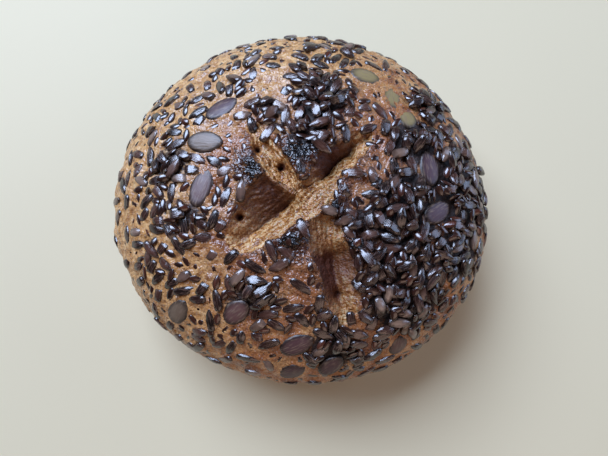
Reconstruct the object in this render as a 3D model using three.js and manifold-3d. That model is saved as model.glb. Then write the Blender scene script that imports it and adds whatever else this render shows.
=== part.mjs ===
// A round seeded sourdough loaf: one solid of dough with a cross scored into its top, and the
// larger seeds of its topping fused to the crust. Millimetres, +Z up. The origin is the middle of
// the flat base, and +Y points to the back of the loaf.
import * as THREE from "three";
import { mergeVertices } from "three/addons/utils/BufferGeometryUtils.js";
import Module from "manifold-3d";

// Driving dimensions of the dough
const LENGTH = 175; // across the belly, the longest way
const WIDTH = 164.5; // across the belly, the other way
const HEIGHT = 74; // base to the top of the dome, before the score
const BELLY_HEIGHT = 27; // level of the widest part
const FOOT_SHARE = 0.78; // radius of the flat base, as a share of the belly's
const SHOULDER_POWER = 2.35; // 2 is an ellipse, more is a fuller shoulder
const LONG_AXIS_TURN = -7; // degrees from +X to the longest way

// How far the outline strays from a plain oval, as shares of its radius
const LOBE_COUNT = 3;
const LOBE_SWELL = 0.0085;
const LOBE_TURN = 317;
const LEAN = 0.006;
const LEAN_TURN = 60;

// Slow lumps in the dome
const LUMP_HEIGHT = 0.9;
const LUMP_LENGTH = 58;

// The score: one long slash and a shorter one across it, both torn open by the rising dough. They
// make four arms, each a crease that runs from near the crossing. An arm starts with a share of its
// depth, and opens to all of it between two distances along it. Its banks are the sides to the left
// and right of the crease as seen from the crossing: their width at the start and past the opening,
// how their walls climb (a power under 1 bulges, one over 1 hollows) and the share of the depth that
// is left as a step under the lip.
const ARMS = [
  {
    from: [3.4, 0.6], turn: 43, reach: 35, depth: 13, start: 0.3, opens: [3, 12],
    left: { widths: [2, 6.5], power: 1, step: 0.2 },
    right: { widths: [10.5, 6], power: 0.7, step: 0.3 },
  },
  {
    from: [1.1, -0.2], turn: 220, reach: 37, depth: 14, start: 0.3, opens: [1, 10],
    left: { widths: [11, 9], power: 0.7, step: 0.25 },
    right: { widths: [1.5, 14], power: 1, step: 0.15 },
  },
  {
    from: [-1.9, -1.4], turn: 122, reach: 34, depth: 5, start: 1, opens: [0, 16],
    left: { widths: [7.5, 5.5], power: 1.5, step: 0.3 },
    right: { widths: [4, 4], power: 1.5, step: 0.3 },
  },
  {
    from: [10.5, -13], turn: 281, reach: 40, depth: 12.5, start: 0.3, opens: [7, 17],
    left: { widths: [5, 10], power: 0.8, step: 0.25 },
    right: { widths: [7, 7], power: 1, step: 0.2 },
  },
];
const ARM_TAPER = 2.2; // how late an arm's depth fades towards its end
const ARM_BLUNTNESS = 0.4; // length of an arm's round inner end, as a share of its bank
const CLIFF = 1.4; // distance over which the step climbs to the lip
const LIP_RISE = 2.6; // how far the torn lips curl up over the dome
const LIP_SPREAD = 7; // distance over which a lip sinks back into the dome

// Seeds: length, width and thickness, how pointed the narrow end is, and the share that is sunk
const PUMPKIN_SEED = { size: [15.5, 9, 3], point: 0.18, sunk: 0.42, sides: 8, rings: 4 };
const SUNFLOWER_KERNEL = { size: [9, 4.6, 3.2], point: 0.4, sunk: 0.4, sides: 6, rings: 3 };

// Each pumpkin seed's place on the loaf, seen from above: x, y, heading in degrees, and its length
// as a share of the usual one
const PUMPKIN_PLACES = [
  [-32, 35, 32, 1],
  [-38, 20, -6, 1.02],
  [-39, 1, 70, 1.06],
  [53, 10, 98, 0.98],
  [56, -8, 25, 0.94],
  [-50, -48, 50, 0.92],
  [-25, -48, 42, 0.84],
  [-1, -61, 28, 0.96],
  [-3, -73, 48, 0.86],
  [13, -70, 62, 0.84],
  [41, -62, 100, 0.68],
  [28, 51, -6, 0.9],
  [39, 41, 75, 0.8],
  [45, 32, 110, 0.66],
];

// Long kernels that lie by themselves, in the same form
const LONG_KERNEL_PLACES = [
  [-4, -26, -40, 1.3],
  [1, -38, -35, 1.32],
  [-21, -67, -12, 1.25],
  [-41, 13, -25, 1.1],
  [2, 39, 15, 1.38],
  [36, -23, 2, 1.35],
];

// Sunflower kernels, scattered by a seeded draw. They lie thick in the drifts, thin elsewhere, and
// hardly at all in the clearings.
const KERNEL_COUNT = 104;
const KERNEL_SPACING = 8.2; // least distance between two kernels
const CHOSEN_CLEARANCE = 9.5; // least distance from a kernel to a seed placed before them
const SCORE_CLEARANCE = 0.3; // kernels keep out of the score deeper than this
const BURNT_TIPS = [[0.2, 15.5, 6], [-18.5, 8.5, 4.5]]; // bare of kernels: x, y and reach
const KERNEL_LOWEST = 14; // least height above the belly, in degrees of the dome's arc
const THIN_SHARE = 0.08; // share of the draws kept outside the drifts
const DRIFTS = [
  // direction from the middle, distance and reach as shares of the radius, share of the draws kept
  { turn: -24, out: 0.28, reach: 0.16, kept: 0.9 },
  { turn: -10, out: 0.48, reach: 0.3, kept: 1 },
  { turn: 2, out: 0.78, reach: 0.3, kept: 1 },
  { turn: 24, out: 0.6, reach: 0.22, kept: 0.9 },
  { turn: 34, out: 0.8, reach: 0.2, kept: 0.75 },
  { turn: 75, out: 0.8, reach: 0.2, kept: 0.5 },
  { turn: 78, out: 0.47, reach: 0.24, kept: 0.9 },
  { turn: 79, out: 0.3, reach: 0.14, kept: 0.9 },
  { turn: 108, out: 0.44, reach: 0.12, kept: 0.85 },
  { turn: 108, out: 0.78, reach: 0.2, kept: 0.45 },
  { turn: 118, out: 0.62, reach: 0.22, kept: 0.5 },
  { turn: 150, out: 0.78, reach: 0.18, kept: 0.55 },
  { turn: 167, out: 0.62, reach: 0.22, kept: 0.75 },
  { turn: 195, out: 0.53, reach: 0.22, kept: 0.75 },
  { turn: 210, out: 0.74, reach: 0.18, kept: 0.6 },
  { turn: 232, out: 0.92, reach: 0.18, kept: 0.5 },
  { turn: 242, out: 0.6, reach: 0.22, kept: 0.75 },
  { turn: 282, out: 0.78, reach: 0.22, kept: 0.85 },
  { turn: 317, out: 0.66, reach: 0.3, kept: 1 },
  { turn: 340, out: 0.8, reach: 0.22, kept: 0.9 },
];
// Bare patches between the drifts: x, y and reach
const CLEARINGS = [[27, 13, 8], [25, 1, 6], [17, -5, 5], [27, 42, 6], [-13, 47, 9], [-36, -27, 10]];
const RANDOM_SEED = 71;

// Faceting: rings up the foot, up the shoulder to this arc, and then evenly inwards over the crown
const AROUND = 64;
const FOOT_STEPS = 4;
const SHOULDER_STEPS = 7;
const SHOULDER_ARC = 46;
const CROWN_STEPS = 12;
const ARM_STEPS = 12; // along an arm of the score
const BANK_STEPS = 4; // across each of its banks
const BANK_CROWDING = 1.4; // over 1 draws those steps towards the crease
const ARM_INNER_END = -1; // an arm is cut from this distance along it
const ARM_OUTER_END = 0.97; // to this share of its reach
const CUT_TOP = HEIGHT + 20; // level clear above the loaf

const DEGREE = Math.PI / 180;
const SLOPE_STEP = 0.5; // step used to measure the crust's slope

// Radius of the belly in a direction
function outline(angle) {
  const across = LENGTH / 2;
  const along = WIDTH / 2;
  const turned = angle - LONG_AXIS_TURN * DEGREE;
  const oval = (across * along) / Math.hypot(along * Math.cos(turned), across * Math.sin(turned));
  const lobes = LOBE_SWELL * Math.cos(LOBE_COUNT * (angle - LOBE_TURN * DEGREE));
  const lean = LEAN * Math.cos(angle - LEAN_TURN * DEGREE);
  return oval * (1 + lobes + lean);
}

// How far out a place is: 0 over the middle, 1 at the belly
function outShare(x, y) {
  return Math.hypot(x, y) / outline(Math.atan2(y, x));
}

// A curve from 0 to 1 that starts and ends level
function smoothStep(share) {
  const t = Math.min(1, Math.max(0, share));
  return t * t * (3 - 2 * t);
}

// How far an arm has opened at a distance along it, from 0 to 1
function opened(along, arm) {
  const [first, last] = arm.opens;
  return smoothStep((along - first) / (last - first));
}

// How an arm fades towards its end, from 1 to 0
function taper(along, arm) {
  return 1 - Math.pow(Math.min(1, Math.max(0, along / arm.reach)), ARM_TAPER);
}

// Share of an arm's full depth at a distance along it
function armShare(along, arm) {
  return THREE.MathUtils.lerp(arm.start, 1, opened(along, arm)) * taper(along, arm);
}

// Width of an arm's bank at a distance along it
function bankWidth(along, arm, bank) {
  return THREE.MathUtils.lerp(...bank.widths, opened(along, arm)) * Math.sqrt(taper(along, arm));
}

// How a place lies by an arm: the share of the arm's depth there, the distance from its crease, and
// the bank on that side with its width at that point
function beside(x, y, arm) {
  const dx = x - arm.from[0];
  const dy = y - arm.from[1];
  const along = dx * Math.cos(arm.turn * DEGREE) + dy * Math.sin(arm.turn * DEGREE);
  const side = dy * Math.cos(arm.turn * DEGREE) - dx * Math.sin(arm.turn * DEGREE);
  const distance = Math.hypot(side, Math.max(0, -along) / ARM_BLUNTNESS);
  const bank = side > 0 ? arm.left : arm.right;
  return { share: armShare(along, arm), distance, bank, width: bankWidth(along, arm, bank) };
}

// Depth that one arm cuts below the dome
function armDepth(x, y, arm) {
  const { share, distance, bank, width } = beside(x, y, arm);
  if (share === 0) return 0;
  const wall = 1 - (1 - bank.step) * Math.pow(Math.min(1, distance / width), bank.power);
  const lip = 1 - smoothStep((distance - width) / CLIFF);
  return arm.depth * share * wall * lip;
}

// Depth of the whole score below the dome
function scoreDepth(x, y) {
  return Math.max(...ARMS.map((arm) => armDepth(x, y, arm)));
}

// Rise of the torn lips beside the score
function lipRise(x, y) {
  let highest = 0;
  for (const arm of ARMS) {
    const { share, distance, width } = beside(x, y, arm);
    const beyond = Math.max(0, distance - width) / LIP_SPREAD;
    highest = Math.max(highest, share * Math.exp(-beyond * beyond));
  }
  return LIP_RISE * highest;
}

// Slow lumps of the dome, zero at the belly
function lumps(x, y) {
  const wave = (2 * Math.PI) / LUMP_LENGTH;
  const swell = Math.sin(wave * (x + 0.4 * y) + 0.7) * Math.cos(wave * (y - 0.3 * x) - 0.4);
  return LUMP_HEIGHT * swell * (1 - Math.pow(outShare(x, y), 4));
}

// The dome's section: share of the radius and height, at an arc up from the belly in radians
function domeSection(arc) {
  const share = Math.pow(Math.max(0, Math.cos(arc)), 2 / SHOULDER_POWER);
  const rise = Math.pow(Math.sin(arc), 2 / SHOULDER_POWER);
  return new THREE.Vector2(share, BELLY_HEIGHT + (HEIGHT - BELLY_HEIGHT) * rise);
}

// The arc up from the belly at which the dome has a share of its radius
function arcAt(share) {
  return Math.acos(Math.pow(Math.min(1, share), SHOULDER_POWER / 2));
}

// Height of the upper crust before it is scored, at a place seen from above
function uncutHeight(x, y) {
  return domeSection(arcAt(outShare(x, y))).y + lipRise(x, y) + lumps(x, y);
}

// Point on the upper crust by its direction and its arc up from the belly
function crustPoint(angle, arc) {
  const reach = domeSection(arc).x * outline(angle);
  const x = reach * Math.cos(angle);
  const y = reach * Math.sin(angle);
  return new THREE.Vector3(x, y, uncutHeight(x, y) - scoreDepth(x, y));
}

// The crust's outward direction, measured over a short step each way
function crustNormal(angle, arc) {
  const turnStep = SLOPE_STEP / Math.max(SLOPE_STEP, HEIGHT * Math.cos(arc));
  const arcStep = SLOPE_STEP / HEIGHT;
  const around = crustPoint(angle + turnStep, arc).sub(crustPoint(angle - turnStep, arc));
  const upwards = crustPoint(angle, arc + arcStep).sub(crustPoint(angle, arc - arcStep));
  return around.cross(upwards).normalize();
}

// A closed solid from a geometry's positions alone
function solidFrom(geometry) {
  const bare = new THREE.BufferGeometry();
  bare.setAttribute("position", geometry.getAttribute("position").clone());
  bare.setIndex(geometry.getIndex());
  const merged = mergeVertices(bare, 1e-4);
  const corners = merged.getIndex().array;
  const kept = [];
  for (let i = 0; i < corners.length; i += 3) {
    const [a, b, c] = corners.slice(i, i + 3);
    if (a !== b && b !== c && c !== a) kept.push(a, b, c);
  }
  return new wasm.Manifold(
    new wasm.Mesh({
      numProp: 3,
      vertProperties: merged.getAttribute("position").array,
      triVerts: new Uint32Array(kept),
    }),
  );
}

// The dough before it is scored: a turned profile, pushed out to the loaf's outline
function doughGeometry() {
  const profile = [new THREE.Vector2(0, 0)];
  for (let i = 0; i < FOOT_STEPS; i++) {
    const arc = (i / FOOT_STEPS) * (Math.PI / 2);
    const share = FOOT_SHARE + (1 - FOOT_SHARE) * Math.sin(arc);
    profile.push(new THREE.Vector2(share, BELLY_HEIGHT * (1 - Math.cos(arc))));
  }
  for (let i = 0; i < SHOULDER_STEPS; i++) {
    profile.push(domeSection((i / SHOULDER_STEPS) * SHOULDER_ARC * DEGREE));
  }
  const crown = domeSection(SHOULDER_ARC * DEGREE).x;
  for (let i = 0; i < CROWN_STEPS; i++) {
    profile.push(domeSection(arcAt(crown * (1 - i / CROWN_STEPS))));
  }
  profile.push(new THREE.Vector2(0, HEIGHT));
  const geometry = new THREE.LatheGeometry(profile, AROUND).rotateX(Math.PI / 2);
  const position = geometry.getAttribute("position");
  for (let i = 0; i < position.count; i++) {
    const angle = Math.atan2(position.getY(i), position.getX(i));
    const reach = Math.hypot(position.getX(i), position.getY(i)) * outline(angle);
    const x = reach * Math.cos(angle);
    const y = reach * Math.sin(angle);
    const z = position.getZ(i);
    position.setXYZ(i, x, y, z > BELLY_HEIGHT ? z + lipRise(x, y) + lumps(x, y) : z);
  }
  return geometry;
}

// What one arm of the score takes out of the dough: a block whose underside is the arm's floor, and
// whose sides stand on its lips
function armGeometry(arm) {
  const geometry = new THREE.BoxGeometry(1, 2, 1, ARM_STEPS, 2 * BANK_STEPS, 1);
  const position = geometry.getAttribute("position");
  const cos = Math.cos(arm.turn * DEGREE);
  const sin = Math.sin(arm.turn * DEGREE);
  for (let i = 0; i < position.count; i++) {
    const along = THREE.MathUtils.lerp(ARM_INNER_END, ARM_OUTER_END * arm.reach, position.getX(i) + 0.5);
    const across = Math.sign(position.getY(i)) * Math.pow(Math.abs(position.getY(i)), BANK_CROWDING);
    const side = across * bankWidth(along, arm, across > 0 ? arm.left : arm.right);
    const x = arm.from[0] + along * cos - side * sin;
    const y = arm.from[1] + along * sin + side * cos;
    const floor = uncutHeight(x, y) - armDepth(x, y, arm);
    position.setXYZ(i, x, y, position.getZ(i) > 0 ? CUT_TOP : floor);
  }
  return geometry;
}

// A seed at the origin, lying along X with its narrow end to +X
function seedGeometry({ size, point, sides, rings }, lengthShare) {
  const geometry = new THREE.SphereGeometry(0.5, sides, rings).rotateZ(-Math.PI / 2);
  const position = geometry.getAttribute("position");
  for (let i = 0; i < position.count; i++) {
    const along = position.getX(i);
    const girth = 1 - 2 * point * along;
    position.setXYZ(
      i,
      along * size[0] * lengthShare,
      position.getY(i) * size[1] * girth,
      position.getZ(i) * size[2],
    );
  }
  return geometry;
}

// A seed laid flat on the crust, turned to its heading and partly sunk
function seedSolid(kind, { angle, arc, heading, lengthShare }) {
  const normal = crustNormal(angle, arc);
  const level = new THREE.Vector3(Math.cos(heading), Math.sin(heading), 0);
  const across = new THREE.Vector3().crossVectors(normal, level).normalize();
  const along = new THREE.Vector3().crossVectors(across, normal);
  const place = crustPoint(angle, arc).addScaledVector(normal, kind.size[2] * (0.5 - kind.sunk));
  const stand = new THREE.Matrix4().makeBasis(along, across, normal).setPosition(place);
  return solidFrom(seedGeometry(kind, lengthShare).applyMatrix4(stand));
}

// A repeatable draw of numbers from 0 to 1
function drawFrom(seed) {
  let state = seed;
  return () => {
    state = (state + 0x6d2b79f5) | 0;
    let mixed = Math.imul(state ^ (state >>> 15), 1 | state);
    mixed = (mixed + Math.imul(mixed ^ (mixed >>> 7), 61 | mixed)) ^ mixed;
    return ((mixed ^ (mixed >>> 14)) >>> 0) / 4294967296;
  };
}

// Seeds placed one by one, as directions and arcs on the dome
function chosenPlaces(rows) {
  return rows.map(([x, y, heading, lengthShare]) => ({
    angle: Math.atan2(y, x),
    arc: arcAt(outShare(x, y)),
    heading: heading * DEGREE,
    lengthShare,
  }));
}

// Share of the draws that is kept at a place: all in the middle of a full drift, few outside the
// drifts, and none in the middle of a clearing
function kernelShare(x, y) {
  let share = THIN_SHARE;
  for (const drift of DRIFTS) {
    const reach = outline(drift.turn * DEGREE);
    const dx = x - drift.out * reach * Math.cos(drift.turn * DEGREE);
    const dy = y - drift.out * reach * Math.sin(drift.turn * DEGREE);
    const away = Math.hypot(dx, dy) / (drift.reach * reach);
    share = Math.max(share, drift.kept * Math.exp(-away * away));
  }
  for (const [bareX, bareY, reach] of CLEARINGS) {
    const away = Math.hypot(x - bareX, y - bareY) / reach;
    share *= 1 - Math.exp(-away * away);
  }
  return share;
}

// Kernels drawn one by one over the dome, each kept if it has room
function kernelPlaces(taken) {
  const draw = drawFrom(RANDOM_SEED);
  const chosen = taken.map(({ angle, arc }) => crustPoint(angle, arc));
  const kernels = [];
  while (kernels.length < KERNEL_COUNT) {
    const angle = 2 * Math.PI * draw();
    const share = Math.sqrt(draw());
    const heading = 2 * Math.PI * draw();
    const lengthShare = 0.85 + 0.3 * draw();
    const luck = draw();
    const arc = arcAt(share);
    const point = crustPoint(angle, arc);
    if (arc < KERNEL_LOWEST * DEGREE) continue;
    if (luck > kernelShare(point.x, point.y)) continue;
    if (scoreDepth(point.x, point.y) > SCORE_CLEARANCE) continue;
    if (BURNT_TIPS.some(([x, y, reach]) => Math.hypot(point.x - x, point.y - y) < reach)) continue;
    if (chosen.some((other) => other.distanceTo(point) < CHOSEN_CLEARANCE)) continue;
    if (kernels.some((other) => other.point.distanceTo(point) < KERNEL_SPACING)) continue;
    kernels.push({ angle, arc, heading, lengthShare, point });
  }
  return kernels;
}

// The loaf: dough and seeds joined into one body, with any pocket they close filled
function loafGeometry() {
  let loaf = solidFrom(doughGeometry());
  for (const arm of ARMS) loaf = loaf.subtract(solidFrom(armGeometry(arm)));
  const pumpkins = chosenPlaces(PUMPKIN_PLACES);
  const longKernels = chosenPlaces(LONG_KERNEL_PLACES);
  const kernels = longKernels.concat(kernelPlaces(pumpkins.concat(longKernels)));
  for (const place of pumpkins) loaf = loaf.add(seedSolid(PUMPKIN_SEED, place));
  for (const place of kernels) loaf = loaf.add(seedSolid(SUNFLOWER_KERNEL, place));
  const [whole] = loaf.decompose().sort((a, b) => b.volume() - a.volume());
  const { vertProperties, triVerts } = whole.getMesh();
  const geometry = new THREE.BufferGeometry();
  geometry.setAttribute("position", new THREE.BufferAttribute(vertProperties, 3));
  geometry.setIndex(new THREE.BufferAttribute(triVerts, 1));
  return geometry;
}

const wasm = await Module();
wasm.setup();

const crust = new THREE.MeshStandardMaterial({ color: 0x9a6a3c, roughness: 0.6, metalness: 0 });
const loaf = new THREE.Mesh(loafGeometry(), crust);
loaf.name = "loaf";

const part = new THREE.Group();
part.add(loaf);

export default part;
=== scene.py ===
# %% [markdown]
# # A seeded sourdough loaf
# A round hearth loaf, seen almost from above. Its crust is golden brown, a cross scored into its top
# has torn open in the oven, and pumpkin seeds, sunflower kernels and flax seeds lie thick on it.
# The frame gives the loaf's solid. This lesson lays the real crust and the real seeds over it, in
# the same place: the crust is one mesh, and each kind of seed is one mesh.

# %% Load the frame
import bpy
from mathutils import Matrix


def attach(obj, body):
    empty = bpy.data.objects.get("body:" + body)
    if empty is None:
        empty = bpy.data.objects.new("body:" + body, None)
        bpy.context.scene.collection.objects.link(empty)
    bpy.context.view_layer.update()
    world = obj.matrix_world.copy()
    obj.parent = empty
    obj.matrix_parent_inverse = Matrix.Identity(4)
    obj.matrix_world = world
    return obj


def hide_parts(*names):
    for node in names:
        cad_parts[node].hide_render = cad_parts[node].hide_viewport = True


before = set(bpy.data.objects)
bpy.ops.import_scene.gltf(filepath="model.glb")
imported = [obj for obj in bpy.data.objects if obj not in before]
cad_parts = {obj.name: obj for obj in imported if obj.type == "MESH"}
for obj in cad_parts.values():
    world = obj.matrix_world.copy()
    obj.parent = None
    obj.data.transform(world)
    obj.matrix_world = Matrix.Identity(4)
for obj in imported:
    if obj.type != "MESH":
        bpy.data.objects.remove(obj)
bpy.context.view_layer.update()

# %% Libraries and units
import math
from types import SimpleNamespace

import bmesh
import bpy
import numpy as np
from mathutils import Vector, noise
from mathutils.bvhtree import BVHTree
from mathutils.kdtree import KDTree

MM = 0.001  # the frame is in metres, and the sizes below are in millimetres


def to_metres(point):
    return Vector(point) * MM


# %% [markdown]
# ## The view
# The loaf was seen from nearly straight above, from the front and close to, as through a wide lens.
# The camera is placed first, so that every later step can be judged from where the loaf is seen.

# %% Camera
LENS, SENSOR_WIDTH = 27.06, 36
NEAREST_SEEN = 10
CAMERA_PLACE = (1.8, -38.7, 250.1)
CAMERA_TARGET = (1.8, -9.3, 27.0)

bpy.ops.object.select_all(action="DESELECT")
bpy.ops.object.camera_add(location=to_metres(CAMERA_PLACE))
camera = bpy.context.object
camera.name = "camera"
camera.data.lens = LENS
camera.data.sensor_width = SENSOR_WIDTH
camera.data.clip_start = NEAREST_SEEN * MM
aim = to_metres(CAMERA_TARGET) - camera.location
camera.rotation_euler = aim.to_track_quat("-Z", "Y").to_euler()
bpy.context.scene.camera = camera
print("camera distance, mm:", round(aim.length / MM))

# %% [markdown]
# ## Light and floor
# Cool daylight falls from a window behind the loaf and to the left, and a little from another one on
# the right. The warm room in front sends some of it back and fills the shadows. Three area lamps and
# a plain world give that. The floor is plain and pale.

# %% Windows and room light
LIGHTS = [
    # name, place, width and height, power, colour
    ("window", (-520, 775, 1080), (1100, 850), 50, "#c6daff"),
    ("room", (300, -900, 650), (1200, 700), 3.6, "#ffdcc8"),
    ("far_window", (950, 250, 420), (800, 600), 5, "#bcd4ff"),
]
LIGHT_TARGET = (0, 0, 40)
ROOM_STRENGTH, ROOM_COLOUR = 0.045, "#ffe1d6"


def linear(hex_colour):
    """sRGB hex to the linear colour that shaders use."""
    values = [int(hex_colour[i : i + 2], 16) / 255 for i in (1, 3, 5)]
    return [v / 12.92 if v <= 0.04045 else ((v + 0.055) / 1.055) ** 2.4 for v in values] + [1.0]


for name, place, (wide, high), power, colour in LIGHTS:
    bpy.ops.object.light_add(type="AREA", location=to_metres(place))
    lamp = bpy.context.object
    lamp.name = name
    lamp.data.shape = "RECTANGLE"
    lamp.data.size, lamp.data.size_y = wide * MM, high * MM
    lamp.data.energy = power
    lamp.data.color = linear(colour)[:3]
    lamp.rotation_euler = (to_metres(LIGHT_TARGET) - lamp.location).to_track_quat("-Z", "Y").to_euler()

room = bpy.data.worlds.new("room")
room.use_nodes = True
room.node_tree.nodes["Background"].inputs["Color"].default_value = linear(ROOM_COLOUR)
room.node_tree.nodes["Background"].inputs["Strength"].default_value = ROOM_STRENGTH
bpy.context.scene.world = room
bpy.context.scene.view_settings.view_transform = "Standard"


# %% A node helper
def add(tree, kind, inputs=None, stops=None, **settings):
    """Adds a node: its settings, a colour ramp's stops, and its inputs as values or links."""
    made = tree.nodes.new(kind)
    for name, value in settings.items():
        setattr(made, name, value)
    if stops:
        ramp = made.color_ramp
        while len(ramp.elements) < len(stops):
            ramp.elements.new(1.0)
        for element, (place, colour) in zip(ramp.elements, stops):
            element.position = place
            element.color = linear(colour)
    for socket, value in (inputs or {}).items():
        if isinstance(value, bpy.types.NodeSocket):
            tree.links.new(value, made.inputs[socket])
        else:
            made.inputs[socket].default_value = value
    return made


def new_material(name):
    """An empty material and its node tree, with only the output left."""
    material = bpy.data.materials.new(name)
    material.use_nodes = True
    tree = material.node_tree
    tree.nodes.remove(tree.nodes["Principled BSDF"])
    return material, tree


def per_mm(size):
    """Texture scale for features of a size in millimetres, on coordinates in metres."""
    return 1 / (size * MM)


# %% Floor
FLOOR_SIZE = 3000
FLOOR_COLOUR, FLOOR_ROUGHNESS = "#c6b998", 0.7

bpy.ops.mesh.primitive_plane_add(size=FLOOR_SIZE * MM, location=(0, 0, 0))
floor = bpy.context.object
floor.name = "floor"
matt_paint, tree = new_material("pale_matt_paint")
paint_values = {"Base Color": linear(FLOOR_COLOUR), "Roughness": FLOOR_ROUGHNESS}
shader = add(tree, "ShaderNodeBsdfPrincipled", paint_values)
tree.links.new(shader.outputs["BSDF"], tree.nodes["Material Output"].inputs["Surface"])
floor.data.materials.append(matt_paint)

# %% [markdown]
# ## The form of the dough
# The same rules shape the solid and this crust: an oval outline with three slow lobes, a dome with
# full shoulders, and a cross whose arms tear open between curled lips. They work on whole arrays of
# places at once, seen from above, in millimetres.

# %% Outline and dome
LENGTH, WIDTH, HEIGHT, BELLY_HEIGHT = 175, 164.5, 74, 27
FOOT_SHARE = 0.78  # radius of the flat base, as a share of the belly's
SHOULDER_POWER = 2.35  # 2 gives a round dome, and more gives fuller shoulders
LONG_AXIS_TURN = math.radians(-7)
LOBE_COUNT, LOBE_SWELL, LOBE_TURN = 3, 0.0085, math.radians(317)
LEAN, LEAN_TURN = 0.006, math.radians(60)  # how much further out one side is, and which


def outline(angle):
    """Radius of the belly in a direction."""
    across, along = LENGTH / 2, WIDTH / 2
    turned = angle - LONG_AXIS_TURN
    oval = across * along / np.hypot(along * np.cos(turned), across * np.sin(turned))
    lobes = LOBE_SWELL * np.cos(LOBE_COUNT * (angle - LOBE_TURN))
    return oval * (1 + lobes + LEAN * np.cos(angle - LEAN_TURN))


def out_share(x, y):
    """How far out a place is: 0 over the middle, 1 at the belly."""
    return np.hypot(x, y) / outline(np.arctan2(y, x))


def dome_share(arc):
    return np.maximum(0, np.cos(arc)) ** (2 / SHOULDER_POWER)


def dome_height(arc):
    return BELLY_HEIGHT + (HEIGHT - BELLY_HEIGHT) * np.sin(arc) ** (2 / SHOULDER_POWER)


def arc_at(share):
    """The arc up from the belly at which the dome has a share of its radius."""
    return np.arccos(np.minimum(1, share) ** (SHOULDER_POWER / 2))


# %% Score
ARM_TAPER, ARM_BLUNTNESS = 2.2, 0.4  # how an arm runs out at its tip, and how round its start is
CLIFF = 1.4  # over what distance the edge of a bank falls
LIP_RISE, LIP_SPREAD = 2.6, 7
NO_WIDTH = 1e-9  # stands for the width past an arm's tip
ARMS = [
    # where it starts, its turn, reach and depth, the share of the depth at the start and between which
    # distances it opens, then each bank's width at the start and past the opening, its power, its step
    # and how dark its crumb is painted, partly for browning and partly as painted shade
    ((3.4, 0.6), 43, 35, 13, 0.3, (3, 12), (2, 6.5, 1, 0.2, 1.3), (10.5, 6, 0.7, 0.3, 0.15)),
    ((1.1, -0.2), 220, 37, 14, 0.3, (1, 10), (11, 9, 0.7, 0.25, 0.15), (1.5, 14, 1, 0.15, 1)),
    ((-1.9, -1.4), 122, 34, 5, 1, (0, 16), (7.5, 5.5, 1.5, 0.3, 0), (4, 4, 1.5, 0.3, 0)),
    ((10.5, -13), 281, 40, 12.5, 0.3, (7, 17), (5, 10, 0.8, 0.25, 1.0), (7, 7, 1, 0.2, 1.6)),
]


def smooth_step(share):
    """Eases from 0 to 1 as a share goes from 0 to 1."""
    t = np.clip(share, 0, 1)
    return t * t * (3 - 2 * t)


def beside(x, y, arm):
    """How places lie by an arm: how far from its crease, and what the arm and that bank are there."""
    start, turn, reach, depth, start_share, (first, last), left, right = arm
    dx, dy = x - start[0], y - start[1]
    cos, sin = math.cos(math.radians(turn)), math.sin(math.radians(turn))
    along, side = dx * cos + dy * sin, dy * cos - dx * sin
    distance = np.hypot(side, np.maximum(0, -along) / ARM_BLUNTNESS)
    opened = smooth_step((along - first) / (last - first))
    taper = 1 - np.clip(along / reach, 0, 1) ** ARM_TAPER
    share = (start_share + (1 - start_share) * opened) * taper
    inner, outer, power, step, browning_and_shade = (np.where(side > 0, l, r) for l, r in zip(left, right))
    width = (inner + (outer - inner) * opened) * np.sqrt(taper)
    return SimpleNamespace(
        share=share,
        depth=depth * share,
        distance=distance,
        width=width,
        power=power,
        step=step,
        browning_and_shade=browning_and_shade,
    )


def score_depth(x, y):
    """Depth of the whole score below the dome."""
    deepest = np.zeros_like(np.asarray(x, float))
    for arm in ARMS:
        by = beside(x, y, arm)
        out = np.minimum(1, by.distance / np.maximum(by.width, NO_WIDTH))
        wall = 1 - (1 - by.step) * out**by.power
        lip = 1 - smooth_step((by.distance - by.width) / CLIFF)
        deepest = np.maximum(deepest, by.depth * wall * lip)
    return deepest


def lip_rise(x, y):
    """Rise of the torn lips beside the score."""
    highest = np.zeros_like(np.asarray(x, float))
    for arm in ARMS:
        by = beside(x, y, arm)
        beyond = np.maximum(0, by.distance - by.width) / LIP_SPREAD
        highest = np.maximum(highest, by.share * np.exp(-(beyond**2)))
    return LIP_RISE * highest


# %% Lumps, and a point on the crust
LUMP_HEIGHT, LUMP_LENGTH = 0.9, 58
LUMP_SLANTS, LUMP_SHIFTS = (0.4, -0.3), (0.7, -0.4)


def lumps(x, y):
    """Slow lumps of the dome, zero at the belly."""
    wave = 2 * math.pi / LUMP_LENGTH
    across = np.sin(wave * (x + LUMP_SLANTS[0] * y) + LUMP_SHIFTS[0])
    swell = across * np.cos(wave * (y + LUMP_SLANTS[1] * x) + LUMP_SHIFTS[1])
    return LUMP_HEIGHT * swell * (1 - out_share(x, y) ** 4)


def crust_point(angle, arc):
    """Point on the upper crust by its direction and its arc up from the belly."""
    reach = dome_share(arc) * outline(angle)
    x, y = reach * np.cos(angle), reach * np.sin(angle)
    z = dome_height(arc_at(out_share(x, y))) + lip_rise(x, y) + lumps(x, y) - score_depth(x, y)
    return np.array([x, y, z])


back = math.pi / 2
print("crust 2 mm behind the middle, mm:", np.round(crust_point(back, arc_at(2 / outline(back))), 1))

# %% [markdown]
# ## The crust
# The crust is the skin of the dough, baked hard. It could be carved in sculpt mode by hand. Here half
# of its section is drawn as one line, and a Screw modifier turns that line into a closed skin with
# small, even cells. Then the rules above push it to the loaf's form: each push is a vertex group
# painted with an amount, and a Displace modifier that follows it.

# %% Half section, from the crown to the middle of the base
DOME_RINGS, FOOT_RINGS, BASE_RINGS = 190, 22, 10
RING_SPREAD = 2.4  # the lowest rings lie this many times further apart than those round the score
AROUND = 400
FINE_STEPS = 4000  # along the dome, to measure its arc
SAME_PLACE, ON_PLANE = 1e-7, 1e-6  # metres


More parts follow.
